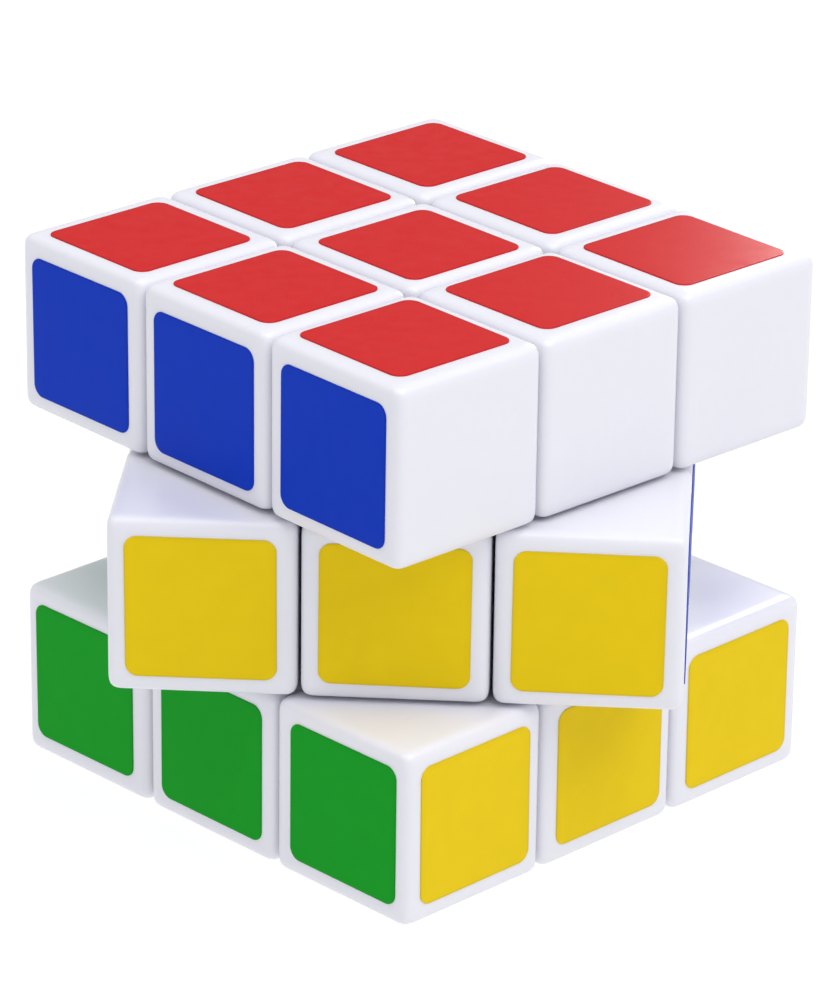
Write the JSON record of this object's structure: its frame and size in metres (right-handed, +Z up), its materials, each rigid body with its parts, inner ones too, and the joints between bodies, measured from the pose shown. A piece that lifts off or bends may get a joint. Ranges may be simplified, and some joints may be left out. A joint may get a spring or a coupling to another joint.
{
  "type": "twisty puzzle cube",
  "caption": "White twisty puzzle cube with coloured stickers, its top and bottom layers stopped part-way through a turn on a sprung core.",
  "frame": {"origin": "middle of the underside, on the turning axis of the top and bottom layers", "axes": "+Z up along the turning axis of the top and bottom layers; -Y out of the middle layer's yellow side, which is its front; +X out of its blue side"},
  "size_m": [0.0796, 0.0796, 0.057],
  "materials": {
    "white_plastic": "glossy moulded ABS",
    "core_plastic": "plain moulded nylon",
    "screw_steel": "zinc-plated steel",
    "washer_steel": "plain rolled steel",
    "spring_steel": "drawn spring wire",
    "red_vinyl": "satin-gloss vinyl sticker",
    "orange_vinyl": "satin-gloss vinyl sticker",
    "blue_vinyl": "satin-gloss vinyl sticker",
    "green_vinyl": "satin-gloss vinyl sticker",
    "yellow_vinyl": "satin-gloss vinyl sticker"
  },
  "bodies": {
    "core_and_middle_layer": {"core": "core_plastic", "screw_blue_side": "screw_steel", "washer_blue_side": "washer_steel", "spring_blue_side": "spring_steel", "screw_white_side": "screw_steel", "washer_white_side": "washer_steel", "spring_white_side": "spring_steel", "screw_green_side": "screw_steel", "washer_green_side": "washer_steel", "spring_green_side": "spring_steel", "screw_yellow_side": "screw_steel", "washer_yellow_side": "washer_steel", "spring_yellow_side": "spring_steel", "screw_red_side": "screw_steel", "washer_red_side": "washer_steel", "spring_red_side": "spring_steel", "screw_orange_side": "screw_steel", "washer_orange_side": "washer_steel", "spring_orange_side": "spring_steel", "edge_blue_white": "white_plastic", "edge_white_green": "white_plastic", "edge_green_yellow": "white_plastic", "edge_yellow_blue": "white_plastic"},
    "top_layer": {"edge_red_blue": "white_plastic", "edge_red_white": "white_plastic", "edge_red_green": "white_plastic", "edge_red_yellow": "white_plastic", "corner_shell_red_blue_white": "white_plastic", "corner_shell_red_white_green": "white_plastic", "corner_shell_red_green_yellow": "white_plastic", "corner_shell_red_yellow_blue": "white_plastic", "corner_foot_red_blue_white": "white_plastic", "corner_foot_red_white_green": "white_plastic", "corner_foot_red_green_yellow": "white_plastic", "corner_foot_red_yellow_blue": "white_plastic"},
    "bottom_layer": {"edge_orange_blue": "white_plastic", "edge_orange_white": "white_plastic", "edge_orange_green": "white_plastic", "edge_orange_yellow": "white_plastic", "corner_shell_orange_blue_white": "white_plastic", "corner_shell_orange_white_green": "white_plastic", "corner_shell_orange_green_yellow": "white_plastic", "corner_shell_orange_yellow_blue": "white_plastic", "corner_foot_orange_blue_white": "white_plastic", "corner_foot_orange_white_green": "white_plastic", "corner_foot_orange_green_yellow": "white_plastic", "corner_foot_orange_yellow_blue": "white_plastic"},
    "blue_center": {"center_blue": "white_plastic", "center_cap_blue": "white_plastic"},
    "white_center": {"center_white": "white_plastic", "center_cap_white": "white_plastic"},
    "green_center": {"center_green": "white_plastic", "center_cap_green": "white_plastic"},
    "yellow_center": {"center_yellow": "white_plastic", "center_cap_yellow": "white_plastic"},
    "red_center": {"center_red": "white_plastic", "center_cap_red": "white_plastic"},
    "orange_center": {"center_orange": "white_plastic", "center_cap_orange": "white_plastic"}
  },
  "joints": [
    {"name": "top_layer_turn", "type": "hinge", "parent": "core_and_middle_layer", "child": "top_layer", "pos_m": [0, 0, 0.0285], "axis": [0, 0, 1], "continuous": true},
    {"name": "bottom_layer_turn", "type": "hinge", "parent": "core_and_middle_layer", "child": "bottom_layer", "pos_m": [0, 0, 0.0285], "axis": [0, 0, -1], "continuous": true},
    {"name": "blue_center_lift", "type": "slide", "parent": "core_and_middle_layer", "child": "blue_center", "axis": [1, 0, 0], "range_m": [0, 0.0008], "stiffness_N_per_m": 600, "springref_m": -0.004, "deforming": ["spring_blue_side"]},
    {"name": "white_center_lift", "type": "slide", "parent": "core_and_middle_layer", "child": "white_center", "axis": [0, 1, 0], "range_m": [0, 0.0008], "stiffness_N_per_m": 600, "springref_m": -0.004, "deforming": ["spring_white_side"]},
    {"name": "green_center_lift", "type": "slide", "parent": "core_and_middle_layer", "child": "green_center", "axis": [-1, 0, 0], "range_m": [0, 0.0008], "stiffness_N_per_m": 600, "springref_m": -0.004, "deforming": ["spring_green_side"]},
    {"name": "yellow_center_lift", "type": "slide", "parent": "core_and_middle_layer", "child": "yellow_center", "axis": [0, -1, 0], "range_m": [0, 0.0008], "stiffness_N_per_m": 600, "springref_m": -0.004, "deforming": ["spring_yellow_side"]},
    {"name": "red_center_lift", "type": "slide", "parent": "top_layer", "child": "red_center", "axis": [0, 0, 1], "range_m": [0, 0.0008], "stiffness_N_per_m": 600, "springref_m": -0.004, "deforming": ["spring_red_side"]},
    {"name": "orange_center_lift", "type": "slide", "parent": "bottom_layer", "child": "orange_center", "axis": [0, 0, -1], "range_m": [0, 0.0008], "stiffness_N_per_m": 600, "springref_m": -0.004, "deforming": ["spring_orange_side"]}
  ]
}
